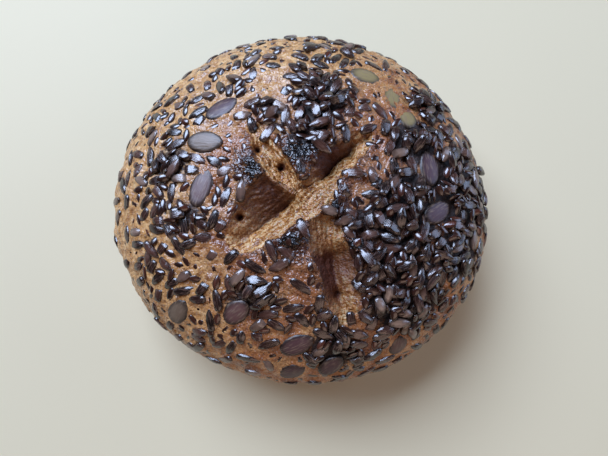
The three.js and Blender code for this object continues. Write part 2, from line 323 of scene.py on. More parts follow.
def half_section():
    """Points of the section, as share of the belly's radius and height in millimetres."""
    arc = np.linspace(math.pi / 2, 0, FINE_STEPS)
    share, height = dome_share(arc), dome_height(arc)
    walked = np.cumsum(np.hypot(np.diff(share * LENGTH / 2, prepend=0), np.diff(height, prepend=HEIGHT)))
    stride = np.linspace(1, RING_SPREAD, DOME_RINGS).cumsum()
    rings = walked[-1] * np.append(0, stride / stride[-1])
    dome = np.stack([np.interp(rings, walked, share), np.interp(rings, walked, height)], 1)
    foot_arc = np.linspace(math.pi / 2, 0, FOOT_RINGS + 1)[1:]
    foot_share = FOOT_SHARE + (1 - FOOT_SHARE) * np.sin(foot_arc)
    foot = np.stack([foot_share, BELLY_HEIGHT * (1 - np.cos(foot_arc))], 1)
    base = np.stack([np.linspace(FOOT_SHARE, 0, BASE_RINGS + 1)[1:], np.zeros(BASE_RINGS)], 1)
    return np.concatenate([dome, foot, base])


section = half_section()
section[0, 0] = 0
bpy.ops.object.select_all(action="DESELECT")
bpy.ops.mesh.primitive_circle_add(vertices=2 * len(section) - 2, radius=1, rotation=(math.pi / 2, 0, 0))
crust = bpy.context.object
crust.name = "loaf_crust"
bpy.ops.object.transform_apply(rotation=True)
bpy.ops.object.mode_set(mode="EDIT")
bpy.ops.mesh.select_all(action="SELECT")
bpy.ops.mesh.bisect(plane_co=(0, 0, 0), plane_no=(1, 0, 0), clear_inner=True, threshold=ON_PLANE)
bpy.ops.object.mode_set(mode="OBJECT")
from_crown = sorted(crust.data.vertices, key=lambda v: -v.co.z)
for vertex, (share, height) in zip(from_crown, section):
    vertex.co = (share, 0, height * MM)

# %% Turn it into a closed skin
screw = crust.modifiers.new("turn", "SCREW")
screw.steps = screw.render_steps = AROUND
screw.use_merge_vertices = True
screw.merge_threshold = SAME_PLACE
bpy.ops.object.modifier_apply(modifier=screw.name)
bpy.ops.object.mode_set(mode="EDIT")
bpy.ops.mesh.select_all(action="SELECT")
bpy.ops.mesh.remove_doubles(threshold=SAME_PLACE)
bpy.ops.mesh.normals_make_consistent(inside=False)
bpy.ops.object.mode_set(mode="OBJECT")
print("crust:", len(crust.data.polygons), "faces")

# %% Push it to the outline
LEAST_WEIGHT = 1e-6


def places(piece):
    """A mesh's vertices in millimetres, one row each."""
    flat = np.empty(3 * len(piece.data.vertices))
    piece.data.vertices.foreach_get("co", flat)
    return flat.reshape(-1, 3) / MM


def paint(piece, name, weights):
    """A vertex group with a weight from 0 to 1 for each vertex."""
    group = piece.vertex_groups.new(name=name)
    for index in np.flatnonzero(weights > LEAST_WEIGHT).tolist():
        group.add((index,), float(weights[index]), "REPLACE")
    return group.name


def displace(piece, direction, height, group, texture=None):
    """Moves a mesh along X, Y, Z or its normals by a height in millimetres, where it is painted."""
    modifier = piece.modifiers.new("displace", "DISPLACE")
    modifier.direction = direction
    modifier.strength = height * MM
    modifier.vertex_group = group
    modifier.mid_level = 0
    if texture:
        modifier.texture = texture
        modifier.texture_coords = "LOCAL"
        modifier.mid_level = 0.5
    with bpy.context.temp_override(object=piece, active_object=piece):
        bpy.ops.object.modifier_apply(modifier=modifier.name)
    piece.vertex_groups.clear()


def push(piece, direction, amounts):
    """Moves each vertex by its own number of millimetres, up and down in turn."""
    for sign in (1, -1):
        part = np.maximum(0, sign * amounts)
        if part.max() > 0:
            displace(piece, direction, sign * part.max(), paint(piece, "push", part / part.max()))


turned = places(crust)
angle = np.arctan2(turned[:, 1], turned[:, 0])
share = np.hypot(turned[:, 0], turned[:, 1]) * MM
seen_x, seen_y = share * outline(angle) * np.cos(angle), share * outline(angle) * np.sin(angle)
push(crust, "X", seen_x - turned[:, 0])
push(crust, "Y", seen_y - turned[:, 1])

# %% Lips, lumps and the score, torn unevenly
RAGGED, RAGGED_SIZE = 1.3, 5  # how far the torn edges stray, and over what distance
FINER_SHARE, FINER_RATIO = 0.5, 2.3  # the finer raggedness on them
NOISE_SEED = 4
PITS = [
    # x, y, reach and depth
    (-7.5, 9.5, 1.4, 5),
    (-17, 16.5, 1.2, 4),
    (-24, -10.5, 1.4, 4),
    (15, -41, 1.8, 4),
]
noise.seed_set(NOISE_SEED)


def stray(size):
    """A smooth random shift for each vertex, seen from above, from -1 to 1."""
    return np.array([noise.noise_vector((x / size, y / size, 0))[:2] for x, y in zip(seen_x, seen_y)]).T


upper = places(crust)[:, 2] > BELLY_HEIGHT
ragged = RAGGED * (stray(RAGGED_SIZE) + FINER_SHARE * stray(RAGGED_SIZE / FINER_RATIO))
torn_x, torn_y = seen_x + ragged[0], seen_y + ragged[1]
depth = np.where(upper, score_depth(torn_x, torn_y), 0)
pits = sum(
    deep * np.exp(-((seen_x - x) ** 2 + (seen_y - y) ** 2) / reach**2) for x, y, reach, deep in PITS
)
swell = lip_rise(torn_x, torn_y) + lumps(seen_x, seen_y)
push(crust, "Z", np.where(upper, swell - depth - pits, 0))
print("deepest cut, mm:", round(float(depth.max()), 1))

# %% [markdown]
# ### Torn crumb and blisters
# Where the dough tore it is crumbly and stringy. The rest of the crust is taut, with small blisters.
# Noise textures on more Displace modifiers give that relief, each painted where it belongs.

# %% Where the crust is torn, brown or burnt
CHAR_SPOTS = [
    # x, y, and reach along x and along y
    (0.4, 15, 6.8, 5.4),
    (-18.5, 8.5, 3.6, 4.6),
    (12.5, -6, 2.8, 6),
    (-3, -21, 4.5, 3),
    (22, -22, 3, 3),
]


def char_at(x, y, spread):
    """How burnt the petals' tips are, from 0 to 1, with their reach widened by a distance."""
    away = [
        np.hypot((x - at_x) / (wide + spread), (y - at_y) / (deep + spread))
        for at_x, at_y, wide, deep in CHAR_SPOTS
    ]
    return np.exp(-np.min(away, axis=0) ** 4)


def fibres(x, y, turn, length, width):
    """Noise drawn out along a direction, from -1 to 1."""
    cos, sin = math.cos(math.radians(turn)), math.sin(math.radians(turn))
    along, side = (x * cos + y * sin) / length, (y * cos - x * sin) / width
    return np.array([noise.noise((a, s, 0)) for a, s in zip(along, side)])


STRINGINESS = (0.3, 0.3, 1, 0.3)  # how much each arm's crumb was drawn into strings
STRING_LENGTH, STRING_WIDTH = 6, 0.9
TORN_OFF = 0.8  # share of the char that is lost where the dough tore
torn, browning_and_shade, streaks, strings = np.zeros((4, len(seen_x)))
for arm, stringy in zip(ARMS, STRINGINESS):
    by = beside(torn_x, torn_y, arm)
    inside = np.where(upper & (by.share > 0), 1 - smooth_step((by.distance - by.width) / CLIFF), 0)
    drawn_out = fibres(torn_x, torn_y, arm[1], STRING_LENGTH, STRING_WIDTH)
    streaks = np.where(inside > torn, inside * drawn_out, streaks)
    strings = np.where(inside > torn, stringy * streaks, strings)
    browning_and_shade = np.maximum(browning_and_shade, inside * by.browning_and_shade * by.share)
    torn = np.maximum(torn, inside)
skin = np.where(upper, 1 - torn, 0)
char = np.where(upper, char_at(torn_x, torn_y, 0), 0) * (1 - TORN_OFF * torn)
print("torn vertices:", int((torn > 0.5).sum()), "burnt ones:", int((char > 0.5).sum()))

# %% Relief
STRING_HEIGHT, CHAR_RISE = 1.4, 1.2
RELIEF = [
    # where it belongs, its height, the size of its features, and how often finer ones are added
    (torn, 0.9, 3.4, 3),
    (torn, 0.6, 0.9, 1),
    (skin, 1.6, 7, 2),
    (skin, 0.7, 1.8, 2),
    (char, 2.4, 2.1, 3),
]


def clouds(size, finer):
    """A cloudy texture with features of a size in millimetres."""
    texture = bpy.data.textures.new("clouds", "CLOUDS")
    texture.noise_scale = size * MM
    texture.noise_depth = finer
    return texture


push(crust, "Z", STRING_HEIGHT * strings)
for weights, rise, size, finer in RELIEF:
    displace(crust, "NORMAL", rise, paint(crust, "relief", weights), clouds(size, finer))
push(crust, "Z", CHAR_RISE * char)
print("crown of the crust, mm:", round(float(places(crust)[:, 2].max()), 1))

# %% Marks for the colours
LIP_LINE_OUT, LIP_LINE_SPREAD = 1.5, 3.5  # how far past the edge a lip is brownest, and how that fades
SCORCH_SPREAD, LIP_SCORCH, SCORCH_TORN_OFF = 6, 0.75, 0.75
GOLDEN_TURN = math.radians(150)  # towards the side that baked palest
FOOT_PALE, CROWN_BROWN, CROWN_GOLDEN = 0.4, 0.6, 0.36
# painted shade: each pit's crumb is painted darker the deeper it is
PIT_DARK = 2  # the depth at which a pit is quite dark


def mark(piece, name, values):
    """Keeps a number for each vertex, for a material to read."""
    piece.data.attributes.new(name, "FLOAT", "POINT").data.foreach_set("value", values.astype(np.float32))


def lip_line(x, y):
    """Closeness to a torn lip, from 0 to 1."""
    closest = np.zeros_like(x)
    for arm in ARMS:
        by = beside(x, y, arm)
        beyond = (by.distance - by.width - LIP_LINE_OUT) / LIP_LINE_SPREAD
        closest = np.maximum(closest, np.sqrt(by.share) * np.exp(-(beyond**2)))
    return closest


def climb(low, span):
    """How far up a band of heights each vertex of the crust is, from 0 to 1."""
    return smooth_step((now_height - low) / span)


now_height = places(crust)[:, 2]
browned = np.maximum(char_at(torn_x, torn_y, SCORCH_SPREAD), LIP_SCORCH * lip_line(torn_x, torn_y))
scorch = browned * (1 - SCORCH_TORN_OFF * torn)
mark(crust, "torn", torn)
# the deep mark: browning and painted shade on the banks, and painted shade in the pits
mark(crust, "deep", np.maximum(browning_and_shade, smooth_step(pits / PIT_DARK)))
mark(crust, "streaks", streaks)
mark(crust, "scorch", np.where(upper, scorch, 0))
mark(crust, "char", char)
golden_side = smooth_step(0.5 + 0.5 * np.cos(angle - GOLDEN_TURN))
near_foot, off_crown = 1 - climb(low=25, span=40), 1 - climb(low=66, span=10)
mark(crust, "pale", np.maximum(FOOT_PALE * near_foot, golden_side * off_crown))
mark(crust, "crown", (CROWN_BROWN - CROWN_GOLDEN * golden_side) * climb(low=60, span=12))
bpy.ops.object.select_all(action="DESELECT")
crust.select_set(True)
bpy.context.view_layer.objects.active = crust
bpy.ops.object.shade_smooth()

# %% [markdown]
# ### Baked crust
# Crust is starch and sugar browned by the oven: golden on the sides, darker on the crown, with a
# slight gloss that glints on every tiny bump, and small pale specks painted in as more glints. Torn
# crumb is paler, duller and rougher. Burnt tips are black with a faint sheen. The crust between thick
# seeds is painted dark as painted shade. The score's banks and pits are painted darker, partly for
# browning and partly as painted shade.

# %% Crust material: speckles and marks
SPECKLES = {
    # size in millimetres, and how much finer detail it has
    "mottle": (11, 5),
    "blotch": (3, 5),
    "fibre": (1.3, 6),
    # the noise that places the painted glints
    "glint_grain": (0.9, 4),
    "blister": (1.4, 1),
}
SPECKLE_ROUGHNESS = 0.7
MARKS = ("torn", "deep", "streaks", "scorch", "char", "pale", "crown", "shaded")
baked_crust, tree = new_material("baked_crust")
where = add(tree, "ShaderNodeTexCoord").outputs["Object"]
speckles = {}
for name, (size, detail) in SPECKLES.items():
    grain = {"Vector": where, "Scale": per_mm(size), "Detail": detail, "Roughness": SPECKLE_ROUGHNESS}
    speckles[name] = add(tree, "ShaderNodeTexNoise", grain).outputs["Fac"]
marks = {name: add(tree, "ShaderNodeAttribute", attribute_name=name).outputs["Fac"] for name in MARKS}
print("speckles:", len(speckles), "marks:", len(marks))


# %% Crust material: colours laid over one another
def paint_over(under, over, mark_name, speckle, ragged, soft=0.25):
    """Lays a colour over another where the crust carries a mark, with a ragged, soft edge."""
    uneven = {0: speckles[speckle], 1: ragged, 2: marks[mark_name]}
    broken = add(tree, "ShaderNodeMath", uneven, operation="MULTIPLY_ADD").outputs[0]
    middle = 0.5 * ragged + 0.5
    edge = {"Value": broken, "From Min": middle - soft, "From Max": middle + soft}
    share = add(tree, "ShaderNodeMapRange", edge).outputs["Result"]
    # a Mix node's colour sockets are 6 and 7, and its colour result is 2
    return add(tree, "ShaderNodeMix", {0: share, 6: under, 7: over}, data_type="RGBA").outputs[2]


STREAK_SHARE = 0.12  # how much the drawn-out strings show in the crumb's colour
skin_stops = [(0.35, "#66361b"), (0.5, "#9b6236"), (0.65, "#cb9b62")]
golden_stops = [(0.35, "#8a5a2e"), (0.5, "#b5844f"), (0.65, "#d2a872")]
crumb_stops = [(0.38, "#5f3210"), (0.5, "#a66d34"), (0.62, "#e4c18c")]
skin_ramp = add(tree, "ShaderNodeValToRGB", {"Fac": speckles["mottle"]}, stops=skin_stops)
golden_ramp = add(tree, "ShaderNodeValToRGB", {"Fac": speckles["blotch"]}, stops=golden_stops)
drawn = {0: marks["streaks"], 1: STREAK_SHARE, 2: speckles["fibre"]}
stringy = add(tree, "ShaderNodeMath", drawn, operation="MULTIPLY_ADD").outputs[0]
crumb_ramp = add(tree, "ShaderNodeValToRGB", {"Fac": stringy}, stops=crumb_stops)
colour, golden, crumb = (ramp.outputs["Color"] for ramp in (skin_ramp, golden_ramp, crumb_ramp))
colour = paint_over(colour, golden, "pale", "mottle", ragged=1.5)
colour = paint_over(colour, linear("#75452a"), "crown", "mottle", ragged=1.5, soft=0.5)
# painted highlights: small near-white specks are mixed into the crust's colour to stand in for glints of
# light
painted_glint_range = {"Value": speckles["glint_grain"], "From Min": 0.55, "From Max": 0.75, "To Max": 0.3}
painted_glints = add(tree, "ShaderNodeMapRange", painted_glint_range).outputs["Result"]
painted_glint_mix = {0: painted_glints, 6: colour, 7: linear("#eef0f4")}
colour = add(tree, "ShaderNodeMix", painted_glint_mix, data_type="RGBA").outputs[2]
# painted shade: the crust between thickly lying seeds is painted near black
colour = paint_over(colour, linear("#1c0d07"), "shaded", "fibre", ragged=2)
colour = paint_over(colour, crumb, "torn", "fibre", ragged=1.5)
# browning and painted shade: the crumb in the hollows and pits is painted dark brown
colour = paint_over(colour, linear("#481c03"), "deep", "fibre", ragged=1.2, soft=0.5)
colour = paint_over(colour, linear("#34170b"), "scorch", "fibre", ragged=3, soft=0.35)
colour = paint_over(colour, linear("#0f0c0d"), "char", "fibre", ragged=3)

# %% Crust material: gloss and blisters
DULLED_BY = (("char", -0.2), ("shaded", 0.9), ("deep", 0.7), ("torn", 0.1))
DULLEST, GLOSSY, MATT = 1.6, 0.05, 0.8
BLISTER_HEIGHT = 0.9
TAUT_SHARE = 0.3  # how much lower the blisters are on the pale, taut sides
dull = speckles["fibre"]
for mark_name, amount in DULLED_BY:
    duller = {0: marks[mark_name], 1: amount, 2: dull}
    dull = add(tree, "ShaderNodeMath", duller, operation="MULTIPLY_ADD").outputs[0]
satin = {"Value": dull, "From Max": DULLEST, "To Min": GLOSSY, "To Max": MATT}
roughness = add(tree, "ShaderNodeMapRange", satin).outputs["Result"]
slack = {0: marks["pale"], 1: -TAUT_SHARE, 2: 1.0}
slackness = add(tree, "ShaderNodeMath", slack, operation="MULTIPLY_ADD").outputs[0]
lowered = {0: speckles["blister"], 1: slackness}
blisters = add(tree, "ShaderNodeMath", lowered, operation="MULTIPLY").outputs[0]
relief = {"Height": blisters, "Strength": 1.0, "Distance": BLISTER_HEIGHT * MM}
bumps = add(tree, "ShaderNodeBump", relief).outputs["Normal"]
finish = {"Base Color": colour, "Roughness": roughness, "Normal": bumps, "IOR": 1.5}
shader = add(tree, "ShaderNodeBsdfPrincipled", finish)
tree.links.new(shader.outputs["BSDF"], tree.nodes["Material Output"].inputs["Surface"])
crust.data.materials.append(baked_crust)
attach(crust, "root")
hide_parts("loaf")

# %% [markdown]
# ## The seeds
# Each kind of seed is modelled once, lying along X at unit size, and then copied in its hundreds.
# A sphere with its poles on X is a good start: resizing bands of it gives the pointed end, the ridges
# and the rim. They have few faces, because there are so many of them.


# %% Modelling a seed
def start_seed(name, sides, rings):
    """A sphere of diameter 1 with its poles on the X axis, in edit mode."""
    bpy.ops.object.select_all(action="DESELECT")
    bpy.ops.mesh.primitive_uv_sphere_add(segments=sides, ring_count=rings, radius=0.5)
    seed = bpy.context.object
    seed.name = name
    seed.rotation_euler = (0, math.pi / 2, 0)
    bpy.ops.object.transform_apply(rotation=True)
    bpy.ops.object.mode_set(mode="EDIT")
    return seed


def resize_band(seed, chosen, value):
    """Resizes the vertices that a rule picks, about the seed's middle."""
    bpy.ops.mesh.select_all(action="DESELECT")
    cage = bmesh.from_edit_mesh(seed.data)
    for vertex in cage.verts:
        vertex.select = chosen(vertex.co)
    cage.select_flush(True)
    bmesh.update_edit_mesh(seed.data)
    bpy.ops.transform.resize(value=value, center_override=(0, 0, 0))


def finish_seed(seed):
    """Leaves edit mode and takes the seed out of the scene, as vertices and faces."""
    bpy.ops.object.mode_set(mode="OBJECT")
    points = places(seed) * MM
    faces = [tuple(face.vertices) for face in seed.data.polygons]
    bpy.data.objects.remove(seed)
    print("seed of", len(faces), "faces")
    return points, faces


# %% Flax: a flat drop with a sharp edge
flax = start_seed("flax", sides=8, rings=8)
resize_band(flax, lambda at: at.x > 0.4, (1.0, 0.55, 0.7))
resize_band(flax, lambda at: 0.3 < at.x < 0.4, (1.0, 0.8, 0.9))
resize_band(flax, lambda at: 0.1 < at.x < 0.3, (1.0, 0.93, 1.0))
resize_band(flax, lambda at: abs(at.z) < 0.05, (1.0, 1.1, 1.0))
flax = finish_seed(flax)

# %% Sunflower kernel: four ridges between flat sides, a blunt end and a point
KERNEL_BANDS = [
    # from where to where along the kernel, and how many times as thick
    (0.4, 0.48, 0.62),
    (0.3, 0.4, 0.8),
    (0.1, 0.3, 0.92),
    (-0.4, -0.3, 1.2),
    (-0.48, -0.4, 1.6),
]


def on_flat_side(at):
    """Whether a vertex is in the middle of one of the four flat sides."""
    return round(math.degrees(math.atan2(at.z, at.y)) / 45) % 2 == 0


def start_kernel(name):
    """A kernel in edit mode, with its point to +X."""
    seed = start_seed(name, sides=8, rings=8)
    resize_band(seed, on_flat_side, (1.0, 0.9, 0.84))
    for low, high, girth in KERNEL_BANDS:
        resize_band(seed, lambda at: low < at.x < high, (1.0, girth, girth))
    return seed


kernel = finish_seed(start_kernel("kernel"))
cut_kernel = start_kernel("cut_kernel")
bpy.ops.mesh.select_all(action="SELECT")
bpy.ops.mesh.bisect(plane_co=(0.2, 0, 0), plane_no=(0.94, 0.12, 0.3), use_fill=True, clear_outer=True)
cut_kernel = finish_seed(cut_kernel)

# %% Pumpkin seed: broad and flat, with a raised rim
pumpkin = start_seed("pumpkin", sides=24, rings=14)
resize_band(pumpkin, lambda at: at.x > 0.42, (1.0, 0.6, 0.8))
resize_band(pumpkin, lambda at: 0.3 < at.x < 0.42, (1.0, 0.84, 0.9))
resize_band(pumpkin, lambda at: 0.1 < at.x < 0.3, (1.0, 0.96, 1.0))
resize_band(pumpkin, lambda at: abs(at.z) < 0.1, (1.0, 1.05, 1.0))
resize_band(pumpkin, lambda at: math.hypot(at.x, at.y) < 0.38, (1.0, 1.0, 0.75))
pumpkin = finish_seed(pumpkin)

# %% [markdown]
# ### Where seeds lie
# The larger seeds are placed one by one. Kernels and flax fell on the dough by the handful, so they
# are drawn at random, thick in the drifts and thin elsewhere, and none in the score. Each seed rests
# on the crust and on the seeds already there: its underside is set on the highest points below it,
# and it tips with them.

# %% The seeds that the solid has too
PUMPKIN_SIZE, KERNEL_SIZE, FLAX_SIZE = (15.5, 9, 3), (9, 4.6, 3.2), (5.5, 2.7, 1.15)  # millimetres
PLUM, BARK, OLIVE, PALE = 0, 0.35, 0.7, 1  # a pumpkin seed's place on its scale of tones
PUMPKIN_PLACES = [
    # x, y, heading in degrees, length as a share of the usual one, tone
    (-32, 35, 32, 1, PLUM),
    (-38, 20, -6, 1.02, OLIVE),
    (-39, 1, 70, 1.06, BARK),
    (53, 10, 98, 0.98, PLUM),
    (56, -8, 25, 0.94, PLUM),
    (-50, -48, 50, 0.92, OLIVE),
    (-25, -48, 42, 0.84, BARK),
    (-1, -61, 28, 0.96, PLUM),
    (-3, -73, 48, 0.86, PLUM),
    (13, -70, 62, 0.84, PLUM),
    (41, -62, 100, 0.68, BARK),
    (28, 51, -6, 0.9, PALE),
    (39, 41, 75, 0.8, PALE),
    (45, 32, 110, 0.66, PALE),
]
LONG_KERNEL_PLACES = [
    # x, y, heading in degrees, length as a share of the usual one
    (-4, -26, -40, 1.3),
    (1, -38, -35, 1.32),
    (-21, -67, -12, 1.25),
    (-41, 13, -25, 1.1),
    (2, 39, 15, 1.38),
    (36, -23, 2, 1.35),
]
SOLID_KERNELS, KERNEL_SPACING, CHOSEN_CLEARANCE = 104, 8.2, 9.5
SHORTEST_KERNEL, KERNEL_SPREAD = 0.85, 0.3  # as shares of the usual length
SCORE_CLEARANCE = 0.3  # the depth of score at which no seed lies
KERNEL_LOWEST = 14  # degrees of arc up from the belly
THIN_SHARE = 0.08  # share of the draws kept outside the drifts
RANDOM_SEED = 71
BURNT_TIPS = [(0.2, 15.5, 6), (-18.5, 8.5, 4.5)]  # bare of seeds: x, y and reach
# bare patches between the drifts: x, y and reach
CLEARINGS = [(27, 13, 8), (25, 1, 6), (17, -5, 5), (27, 42, 6), (-13, 47, 9), (-36, -27, 10)]
DRIFTS = [
    # direction from the middle, distance and reach as shares of the radius, share of the draws kept
    (-24, 0.28, 0.16, 0.9),
    (-10, 0.48, 0.3, 1),
    (2, 0.78, 0.3, 1),
    (24, 0.6, 0.22, 0.9),
    (34, 0.8, 0.2, 0.75),
    (75, 0.8, 0.2, 0.5),
    (78, 0.47, 0.24, 0.9),
    (79, 0.3, 0.14, 0.9),
    (108, 0.44, 0.12, 0.85),
    (108, 0.78, 0.2, 0.45),
    (118, 0.62, 0.22, 0.5),
    (150, 0.78, 0.18, 0.55),
    (167, 0.62, 0.22, 0.75),
    (195, 0.53, 0.22, 0.75),
    (210, 0.74, 0.18, 0.6),
    (232, 0.92, 0.18, 0.5),
    (242, 0.6, 0.22, 0.75),
    (282, 0.78, 0.22, 0.85),
    (317, 0.66, 0.3, 1),
    (340, 0.8, 0.22, 0.9),
]


def draws(seed):
    """A repeatable run of numbers from 0 to 1."""
    state = seed
    while True:
        state = (state + 0x6D2B79F5) & 0xFFFFFFFF
        mixed = ((state ^ state >> 15) * (1 | state)) & 0xFFFFFFFF
        mixed = (mixed + (mixed ^ mixed >> 7) * (61 | mixed)) & 0xFFFFFFFF ^ mixed
        yield (mixed ^ mixed >> 14) / 2**32


turn, out, drift_reach, drift_kept = np.array(DRIFTS).T
turn = np.radians(turn)
drift_x, drift_y = out * outline(turn) * np.cos(turn), out * outline(turn) * np.sin(turn)
drift_reach *= outline(turn)
bare_x, bare_y, bare_reach = np.array(CLEARINGS).T


def thickness(x, y):
    """How thick the seeds fell: 1 in a full drift, little outside them, none in a clearing."""
    away = np.hypot(np.asarray(x)[..., None] - drift_x, np.asarray(y)[..., None] - drift_y) / drift_reach
    drifted = np.maximum(THIN_SHARE, (drift_kept * np.exp(-(away**2))).max(-1))
    away = np.hypot(np.asarray(x)[..., None] - bare_x, np.asarray(y)[..., None] - bare_y) / bare_reach
    return drifted * (1 - np.exp(-(away**2))).prod(-1)


def bare(x, y):
    """Whether no seed lies at a place, because it is in the score or on a burnt tip."""
    burnt = any(math.hypot(x - tip_x, y - tip_y) < reach for tip_x, tip_y, reach in BURNT_TIPS)
    return burnt or score_depth(x, y) > SCORE_CLEARANCE


def chosen_places(rows):
    """Seeds placed one by one, as direction, arc, heading and length share."""
    return [
        (math.atan2(y, x), float(arc_at(out_share(x, y))), math.radians(heading), length_share)
        for x, y, heading, length_share in rows
    ]


def solid_kernels(taken, chance):
    """The kernels scattered on the solid, by the same draws, in the form that chosen_places gives."""
    taken_points = [crust_point(angle, arc) for angle, arc, _, _ in taken]
    kept, points = [], []
    while len(kept) < SOLID_KERNELS:
        angle = 2 * math.pi * next(chance)
        share = math.sqrt(next(chance))
        heading = 2 * math.pi * next(chance)
        length_share = SHORTEST_KERNEL + KERNEL_SPREAD * next(chance)
        luck = next(chance)
        arc = float(arc_at(share))
        point = crust_point(angle, arc)
        if arc < math.radians(KERNEL_LOWEST) or luck > thickness(point[0], point[1]):
            continue
        if bare(point[0], point[1]):
            continue
        if any(np.linalg.norm(point - other) < CHOSEN_CLEARANCE for other in taken_points):
            continue
        if any(np.linalg.norm(point - other) < KERNEL_SPACING for other in points):
            continue
        kept.append((angle, arc, heading, length_share))
        points.append(point)
    return kept


chance = draws(RANDOM_SEED)
pumpkins = chosen_places([row[:4] for row in PUMPKIN_PLACES])
long_kernels = chosen_places(LONG_KERNEL_PLACES)
kernels = long_kernels + solid_kernels(pumpkins + long_kernels, chance)
print("kernels on the solid:", len(kernels), "the last one at", np.round(crust_point(*kernels[-1][:2]), 2))

# %% Resting a seed on what is below it
SAMPLE_RINGS = ((0.5, 3), (0.88, 5))  # share of the seed's half size, and points in half a turn
SAMPLES = np.array(
    [(0, 0)]
    + [
        (share * math.cos(a), share * math.sin(a))
        for share, points in SAMPLE_RINGS
        for a in np.arange(0, 2 * math.pi, math.pi / points)
    ]
)
UNDERSIDE = np.sqrt(1 - (SAMPLES**2).sum(1))
LOOK_FROM = 14  # millimetres above the crust
STEEPEST = math.tan(math.radians(38))
TOUCHING = 0.3  # how far another seed has to stand above the crust to carry this one
DEEPEST_GAP = 4  # no support is taken to be further than this below the highest one
NUDGE = 0.01  # radians, to find the slope of the crust
skin_tree = BVHTree.FromObject(crust, bpy.context.evaluated_depsgraph_get())
laid = {"centre": np.empty((0, 3)), "axes": np.empty((0, 3, 3)), "half": np.empty((0, 3))}


def crust_heights(points, up):
    """Height of the crust over each point, along a direction."""
    heights = []
    for point in points:
        start = Vector((point + LOOK_FROM * up) * MM)
        hit = skin_tree.ray_cast(start, Vector(-up))
        heights.append(LOOK_FROM - hit[3] / MM if hit[3] is not None else -LOOK_FROM)
    return np.array(heights)


def seed_heights(points, up, reach):
    """Height of the seeds already laid over each point, along a direction."""
    near = np.linalg.norm(laid["centre"] - points[0], axis=1) < reach + laid["half"][:, 0]
    heights = np.full(len(points), -np.inf)
    for centre, axes, half in zip(laid["centre"][near], laid["axes"][near], laid["half"][near]):
        local = (points - centre) @ axes.T / half
        step = axes @ up / half
        a, b, c = step @ step, local @ step, (local**2).sum(1) - 1
        inside = b**2 - a * c
        top = np.where(inside > 0, (-b + np.sqrt(np.maximum(0, inside))) / a, -np.inf)
        heights = np.maximum(heights, top)
    return heights


def rest(place, size, sunk, tip=(0, 0), most_covered=1, highest=math.inf):
    """Lays a seed and returns True, unless it would lie too much on others or roll off them."""
    angle, arc, heading, length_share = place
    half = np.array([size[0] * length_share, size[1], size[2]]) / 2
    spot = crust_point(angle, arc)
    up = np.cross(
        crust_point(angle + NUDGE, arc) - crust_point(angle - NUDGE, arc),
        crust_point(angle, arc + NUDGE) - crust_point(angle, arc - NUDGE),
    )
    up /= np.linalg.norm(up)
    across = np.cross(up, (math.cos(heading), math.sin(heading), 0))
    across /= np.linalg.norm(across)
    along = np.cross(across, up)
    points = spot + SAMPLES[:, :1] * half[0] * along + SAMPLES[:, 1:] * half[1] * across
    below, others = crust_heights(points, up), seed_heights(points, up, half[0])
    covered = (others > below + TOUCHING).mean()
    if covered > most_covered:
        return False
    support = np.maximum(below, others)
    support = np.maximum(support, support.max() - DEEPEST_GAP)
    fit = np.linalg.lstsq(np.column_stack([np.ones(len(SAMPLES)), SAMPLES]), support, rcond=None)[0]
    slope = np.clip(fit[1:] / half[:2] + tip, -STEEPEST, STEEPEST)
    plane = SAMPLES @ (slope * half[:2])
    lift = (support - plane + half[2] * UNDERSIDE).max() - 2 * half[2] * sunk * (1 - covered)
    if lift > highest:
        return False
    tilted = up - slope[0] * along - slope[1] * across
    tilted /= np.linalg.norm(tilted)
    along = along - (along @ tilted) * tilted
    along /= np.linalg.norm(along)
    axes = np.array([along, np.cross(tilted, along), tilted])
    laid["centre"] = np.append(laid["centre"], [spot + lift * up], 0)
    laid["axes"] = np.append(laid["axes"], [axes], 0)
    laid["half"] = np.append(laid["half"], [half], 0)
    return True


# %% Lay the pumpkin seeds and the kernels of the solid
PUMPKIN_SUNK, PALE_SUNK, KERNEL_SUNK = 0.35, 0.48, 0.36  # shares of the thickness in the crust
pumpkin_tones = [tone for _, _, _, _, tone in PUMPKIN_PLACES]
for place, tone in zip(pumpkins, pumpkin_tones):
    rest(place, PUMPKIN_SIZE, PALE_SUNK if tone == PALE else PUMPKIN_SUNK)
for place in kernels:
    rest(place, KERNEL_SIZE, KERNEL_SUNK)
print("laid:", len(laid["centre"]))

# %% Scatter more kernels, then the flax
MORE_KERNELS, FLAX_COUNT = 280, 620  # at most: as many as find room in the tries
KERNEL_COVER, FLAX_COVER = 0.7, 0.75  # how much of a seed may lie on others, in a full drift
HIGHEST_LIFT = 3.8  # from the crust to the middle of a seed, above which it rolls off the heap
PUMPKIN_CLEARANCE = 0.33  # how far seeds keep off a pumpkin seed, as a share of their own length
FLAX_LOWEST = 8  # degrees of arc up from the belly
SHORTEST, LENGTH_SPREAD, TIP = 0.8, 0.35, 0.3  # shares of the usual length, and the spread of slopes
LONE_SUNK, DRIFT_LIFT = 0.45, 0.2  # share of a lone seed in the crust, and how much less in a drift
RIM_POWER = 6  # how late seeds stop lying on one another towards the belly
TRIES = 16000


def on_pumpkin_seed(spot, clearance):
    """Whether a place is on one of the pumpkin seeds, which lie on top, or too close to it."""
    axes, half = laid["axes"][: len(pumpkins)], laid["half"][: len(pumpkins)] + clearance
    local = np.einsum("kij,kj->ki", axes, spot - laid["centre"][: len(pumpkins)]) / half
    return (np.hypot(local[:, 0], local[:, 1]) < 1).any()


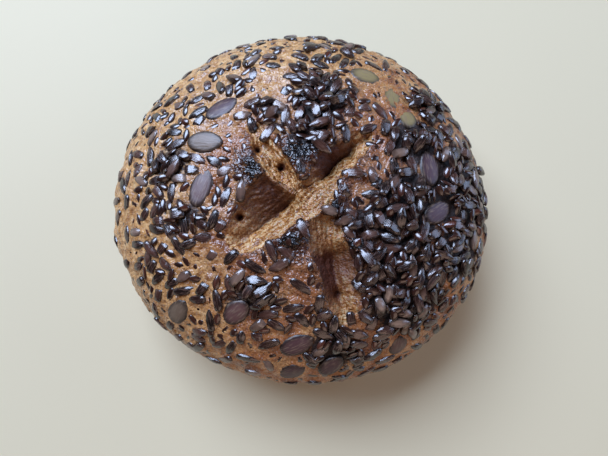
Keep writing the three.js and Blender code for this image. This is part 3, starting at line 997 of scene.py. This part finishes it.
def scatter(count, size, lowest, most_covered):
    """Draws places over the dome until enough seeds have found room, and returns how many did."""
    found = 0
    for _ in range(TRIES):
        angle, share = 2 * math.pi * next(chance), math.sqrt(next(chance))
        heading, length_share = 2 * math.pi * next(chance), SHORTEST + LENGTH_SPREAD * next(chance)
        tip = [TIP * (next(chance) - 0.5) for _ in range(2)]
        luck, arc = next(chance), float(arc_at(share))
        x, y = share * outline(angle) * math.cos(angle), share * outline(angle) * math.sin(angle)
        thick = thickness(x, y)
        if arc < math.radians(lowest) or luck > thick or bare(x, y):
            continue
        if on_pumpkin_seed(crust_point(angle, arc), PUMPKIN_CLEARANCE * size[0]):
            continue
        place, sunk = (angle, arc, heading, length_share), LONE_SUNK - DRIFT_LIFT * thick
        cover = most_covered * thick * (1 - share**RIM_POWER)
        found += rest(place, size, sunk, tip, cover, HIGHEST_LIFT)
        if found == count:
            break
    return found


more_kernels = scatter(MORE_KERNELS, KERNEL_SIZE, KERNEL_LOWEST, KERNEL_COVER)
flax_count = scatter(FLAX_COUNT, FLAX_SIZE, FLAX_LOWEST, FLAX_COVER)
print("more kernels:", more_kernels, "flax:", flax_count)

# %% Join each kind into one mesh
UNBENT = 0.08  # the square of the distance along a seed at which a bow leaves it in place
ARCH_SHARE = 1.4  # how much more a seed is bowed up or down than sideways
RIM_START = 0.5  # where a seed's rim begins, as a share of the way out


def join_seeds(name, masters, first, count, bow, tints=None):
    """One mesh of all the seeds of a kind, with each one's tint and its own coordinates kept."""
    corners, faces, tone, rim, own, start = [], [], [], [], [], 0
    for row in range(first, first + count):
        points, master_faces = masters[int(len(masters) * next(chance))]
        tint, bend, arch = (next(chance) for _ in range(3))
        tint = tints[row - first] if tints else tint
        curve = (points[:, 0] ** 2 - UNBENT) * bow
        bowed = [0 * curve, (bend - 0.5) * curve, ARCH_SHARE * (arch - 0.5) * curve]
        shaped = points + np.column_stack(bowed)
        sized = shaped * 2 * laid["half"][row]
        corners.append(laid["centre"][row] + sized @ laid["axes"][row])
        faces += [tuple(corner + start for corner in face) for face in master_faces]
        tone.append(np.full(len(points), tint))
        outward = 2 * np.hypot(points[:, 0], points[:, 1])
        rim.append(smooth_step((outward - RIM_START) / (1 - RIM_START)))
        own.append(sized * MM + row)
        start += len(points)
    mesh = bpy.data.meshes.new(name)
    mesh.from_pydata((np.concatenate(corners) * MM).tolist(), [], faces)
    piece = bpy.data.objects.new(name, mesh)
    bpy.context.collection.objects.link(piece)
    mark(piece, "tint", np.concatenate(tone))
    mark(piece, "rim", np.concatenate(rim))
    flat_own = np.concatenate(own).ravel().astype(np.float32)
    mesh.attributes.new("own", "FLOAT_VECTOR", "POINT").data.foreach_set("vector", flat_own)
    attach(piece, "root")
    print(name, len(mesh.polygons), "faces")
    return piece


PUMPKIN_BOW, KERNEL_BOW, FLAX_BOW = 0.3, 0.8, 0.4
kernel_masters = [kernel, kernel, kernel, cut_kernel]
first_kernel = len(pumpkins)
kernel_count = len(kernels) + more_kernels
first_flax = first_kernel + kernel_count
pumpkin_seeds = join_seeds("pumpkin_seeds", [pumpkin], 0, len(pumpkins), PUMPKIN_BOW, pumpkin_tones)
sunflower_kernels = join_seeds("sunflower_kernels", kernel_masters, first_kernel, kernel_count, KERNEL_BOW)
flax_seeds = join_seeds("flax_seeds", [flax], first_flax, flax_count, FLAX_BOW)
bpy.ops.object.select_all(action="DESELECT")
for piece, sharpest in ((pumpkin_seeds, 80), (sunflower_kernels, 60), (flax_seeds, 80)):
    piece.select_set(True)
    bpy.context.view_layer.objects.active = piece
    bpy.ops.object.shade_smooth_by_angle(angle=math.radians(sharpest))
    piece.select_set(False)

# %% [markdown]
# ### Crust that rose round the seeds
# The dough swelled round the seeds as it baked, so each sits in a low collar of crust. One more painted
# push raises the skin close to the edge of every seed that touches it.

# %% Collars
COLLAR_HEIGHT, COLLAR_REACH = 0.9, 1.6
TOUCH_DEPTH = 1.5  # how far below a seed's middle the crust may lie to touch it, in half thicknesses
# painted shade: where seeds lie thick, the crust between them is painted dark and gets no collar
SHADE_FROM, SHADE_SPAN = 0.5, 0.3  # thickness of the seeds at which the crust between them turns dark
crust_places = places(crust)
finder = KDTree(len(crust_places))
for index, place in enumerate(crust_places):
    finder.insert(place, index)
finder.balance()
collar = np.zeros(len(crust_places))
for centre, axes, half in zip(laid["centre"], laid["axes"], laid["half"]):
    near = np.array([index for _, index, _ in finder.find_range(centre, half[0] + 2 * COLLAR_REACH)], int)
    if len(near):
        local = (crust_places[near] - centre) @ axes.T
        beyond = np.maximum(0, np.hypot(local[:, 0] / half[0], local[:, 1] / half[1]) - 1) * half[1]
        touching = smooth_step(TOUCH_DEPTH + local[:, 2] / half[2])
        height = min(1, half[1] / 2) * touching * np.exp(-((beyond / COLLAR_REACH) ** 2))
        collar[near] = np.maximum(collar[near], height)
shaded = smooth_step((thickness(seen_x, seen_y) - SHADE_FROM) / SHADE_SPAN) * skin
displace(crust, "NORMAL", COLLAR_HEIGHT, paint(crust, "collar", collar * skin * (1 - shaded)))
print("vertices raised:", int((collar > 0.1).sum()))
mark(crust, "shaded", shaded)

# %% [markdown]
# ### Roasted seeds
# Flax has a hard, polished coat, so each seed carries a bright glint. Sunflower kernels are oily and
# streaked along their length. Pumpkin seeds have a dull skin, plum to olive, with fine pale lines
# along it.

# %% Seed materials
STREAK_STRENGTH, STREAK_HEIGHT = 0.4, 0.3


def seed_material(name, tones, edge_tone, streak_tone, streak_size, stretch, roughness, ior):
    """A roasted seed: a tone for each seed, another at its edge, and streaks of a third along it."""
    material, tree = new_material(name)
    tint = add(tree, "ShaderNodeAttribute", attribute_name="tint").outputs["Fac"]
    own = add(tree, "ShaderNodeAttribute", attribute_name="own").outputs["Vector"]
    face = add(tree, "ShaderNodeValToRGB", {"Fac": tint}, stops=tones).outputs["Color"]
    rim = add(tree, "ShaderNodeAttribute", attribute_name="rim").outputs["Fac"]
    edged = {0: rim, 6: face, 7: linear(edge_tone)}
    tone = add(tree, "ShaderNodeMix", edged, data_type="RGBA").outputs[2]
    along = add(tree, "ShaderNodeMapping", {"Vector": own, "Scale": (1 / stretch, 1, 1)}).outputs[0]
    grain = {"Vector": along, "Scale": per_mm(streak_size), "Detail": 3}
    streak = add(tree, "ShaderNodeTexNoise", grain).outputs["Fac"]
    lightest = {"Value": streak, "From Min": 0.5, "From Max": 0.75}
    share = add(tree, "ShaderNodeMapRange", lightest).outputs["Result"]
    streaked = {0: share, 6: tone, 7: linear(streak_tone)}
    colour = add(tree, "ShaderNodeMix", streaked, data_type="RGBA").outputs[2]
    ridges = {"Height": streak, "Strength": STREAK_STRENGTH, "Distance": STREAK_HEIGHT * MM}
    bumps = add(tree, "ShaderNodeBump", ridges).outputs["Normal"]
    coat = {"Base Color": colour, "Roughness": roughness, "IOR": ior, "Normal": bumps}
    shader = add(tree, "ShaderNodeBsdfPrincipled", coat)
    tree.links.new(shader.outputs["BSDF"], tree.nodes["Material Output"].inputs["Surface"])
    return material


roasted_flax = seed_material(
    "roasted_flax",
    tones=[(0.0, "#180b09"), (0.6, "#2f1710"), (1.0, "#552b1e")],
    edge_tone="#2e1810",
    streak_tone="#3a2018",
    streak_size=1.2,
    stretch=6,
    roughness=0.22,
    ior=1.75,
)
roasted_sunflower = seed_material(
    "roasted_sunflower",
    tones=[(0.0, "#0c0605"), (0.5, "#2a140f"), (0.8, "#4e3026"), (1.0, "#836c5d")],
    edge_tone="#1c100c",
    streak_tone="#664c41",
    streak_size=0.4,
    stretch=9,
    roughness=0.25,
    ior=1.75,
)
roasted_pumpkin = seed_material(
    "roasted_pumpkin",
    tones=[(PLUM, "#40232a"), (BARK, "#573a35"), (OLIVE, "#665444"), (PALE, "#82714a")],
    edge_tone="#21150f",
    streak_tone="#74604f",
    streak_size=0.6,
    stretch=6,
    roughness=0.42,
    ior=1.5,
)
flax_seeds.data.materials.append(roasted_flax)
sunflower_kernels.data.materials.append(roasted_sunflower)
pumpkin_seeds.data.materials.append(roasted_pumpkin)
